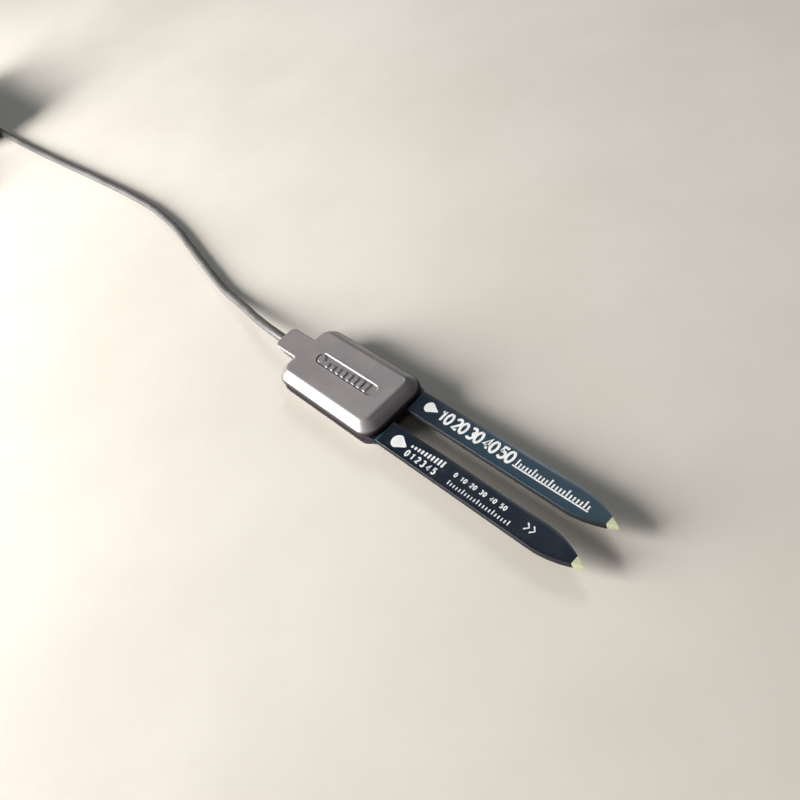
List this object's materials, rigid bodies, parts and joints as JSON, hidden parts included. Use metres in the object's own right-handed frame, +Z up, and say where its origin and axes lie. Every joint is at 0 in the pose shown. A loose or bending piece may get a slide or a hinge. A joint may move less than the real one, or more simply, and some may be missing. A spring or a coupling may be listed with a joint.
{
  "type": "soil moisture sensor",
  "caption": "Forked soil moisture sensor: circuit-board prongs in a bevelled grey housing, with a thin grey cable, a tied hank and a stereo plug.",
  "frame": {"origin": "middle of the sensor's own box in plan, on the surface it lies on; the cable, its hank and plug are left out", "axes": "+X along the prongs to their points, +Y across them, +Z up"},
  "size_m": [0.3759, 0.0389, 0.0196],
  "materials": {
    "shell": "satin moulded",
    "board": "dark solder mask over laminate",
    "potting": "cured resin",
    "chip": "moulded",
    "ceramic": "fired",
    "lid": "plated",
    "tantalum": "moulded",
    "resistor": "glazed",
    "solder": "bright",
    "white_wire": "insulation",
    "bare_wire": "tinned",
    "red_wire": "insulation",
    "cable": "satin jacket",
    "tie": "woven strap",
    "plug_body": "moulded",
    "contact": "nickel plated",
    "insulator": "moulded"
  },
  "bodies": {
    "root": {"upper_shell": "shell", "lower_shell": "shell", "circuit_board": "board", "upper_potting": "potting", "lower_potting": "potting", "voltage_regulator": "chip", "signal_amplifier": "chip", "rectifier_diode": "chip", "oscillator_base": "ceramic", "capacitor_1": "ceramic", "capacitor_2": "ceramic", "capacitor_3": "ceramic", "capacitor_4": "ceramic", "oscillator_lid": "lid", "tantalum_capacitor": "tantalum", "resistor_1": "resistor", "resistor_2": "resistor", "resistor_3": "resistor", "resistor_4": "resistor", "resistor_5": "resistor", "power_solder_joint": "solder", "ground_solder_joint": "solder", "signal_solder_joint": "solder", "power_conductor": "white_wire", "ground_conductor": "bare_wire", "signal_conductor": "red_wire", "cable_lead": "cable", "cable_coil": "cable", "cable_tail": "cable", "coil_tie": "tie", "plug_boot": "plug_body", "plug_handle": "plug_body", "plug_sleeve": "contact", "plug_ring": "contact", "plug_tip": "contact", "plug_ring_insulator": "insulator", "plug_tip_insulator": "insulator"}
  },
  "joints": []
}
